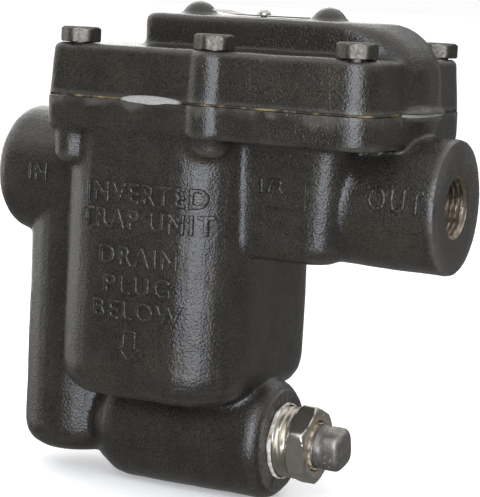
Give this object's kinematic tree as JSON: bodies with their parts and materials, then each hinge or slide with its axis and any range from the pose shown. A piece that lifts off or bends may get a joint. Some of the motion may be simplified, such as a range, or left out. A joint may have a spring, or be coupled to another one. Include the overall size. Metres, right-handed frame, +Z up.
{
  "type": "steam trap",
  "caption": "Inverted bucket steam trap in cast iron with a bolted cover, in-line threaded ports and a built-in strainer closed by a bushing and plug.",
  "frame": {"origin": "on the pipe's centre line, midway between the two port faces", "axes": "+X along the pipe from inlet to outlet, +Y across the trap, +Z up"},
  "size_m": [0.171, 0.0916, 0.175],
  "materials": {
    "black_paint": "semi-gloss black paint on sand-cast iron",
    "dull_steel": "dull grey",
    "stainless": "machined",
    "tag_metal": "satin",
    "gasket_sheet": "matt compressed sheet",
    "white_seal": "matt",
    "thread_tape": "matt"
  },
  "bodies": {
    "housing": {"body": "black_paint", "cover": "black_paint", "cover_gasket": "gasket_sheet", "cover_bolt_1": "dull_steel", "cover_bolt_2": "dull_steel", "cover_bolt_3": "dull_steel", "cover_bolt_4": "dull_steel", "cover_bolt_5": "dull_steel", "cover_bolt_6": "dull_steel", "nameplate": "tag_metal", "nameplate_screw": "tag_metal", "valve_seat": "stainless", "guide_bracket": "stainless", "bracket_screw_1": "stainless", "bracket_screw_2": "stainless", "fulcrum_pin": "stainless", "inlet_tube": "stainless", "bushing_seal": "white_seal"},
    "lever": {"valve_lever": "stainless", "valve_disc": "stainless", "valve_retainer": "stainless"},
    "bucket": {"bucket": "stainless", "bucket_hook": "stainless", "hook_retainer": "stainless"},
    "screen": {"strainer_screen": "stainless"},
    "bushing": {"strainer_bushing": "stainless"},
    "tape": {"plug_tape": "thread_tape"},
    "plug": {"blowdown_plug": "dull_steel"}
  },
  "joints": [
    {"name": "lever_swing", "type": "hinge", "parent": "housing", "child": "lever", "pos_m": [0.0105, 0, 0.0328], "axis": [0, 1, 0], "range_deg": [0, 10]},
    {"name": "bucket_hang", "type": "hinge", "parent": "lever", "child": "bucket", "pos_m": [-0.0156, 0, 0.0282], "axis": [0, 1, 0], "range_deg": [-10, 0]},
    {"name": "bushing_slide", "type": "slide", "parent": "housing", "child": "screen", "axis": [1, 0, 0], "range_m": [0, 0.0135]},
    {"name": "bushing_turn", "type": "hinge", "parent": "screen", "child": "bushing", "pos_m": [0.0365, 0, -0.0888], "axis": [1, 0, 0], "range_deg": [0, 3240]},
    {"name": "plug_slide", "type": "slide", "parent": "bushing", "child": "tape", "axis": [1, 0, 0], "range_m": [0, 0.01129]},
    {"name": "plug_turn", "type": "hinge", "parent": "tape", "child": "plug", "pos_m": [0.045, 0, -0.0888], "axis": [1, 0, 0], "range_deg": [0, 2880]}
  ],
  "couplings": [
    {"joint": "bucket_hang", "follows": "lever_swing", "ratio": -1},
    {"joint": "bushing_slide", "follows": "bushing_turn", "m_per_rad": 0.00023873},
    {"joint": "plug_slide", "follows": "plug_turn", "m_per_rad": 0.00022457}
  ]
}
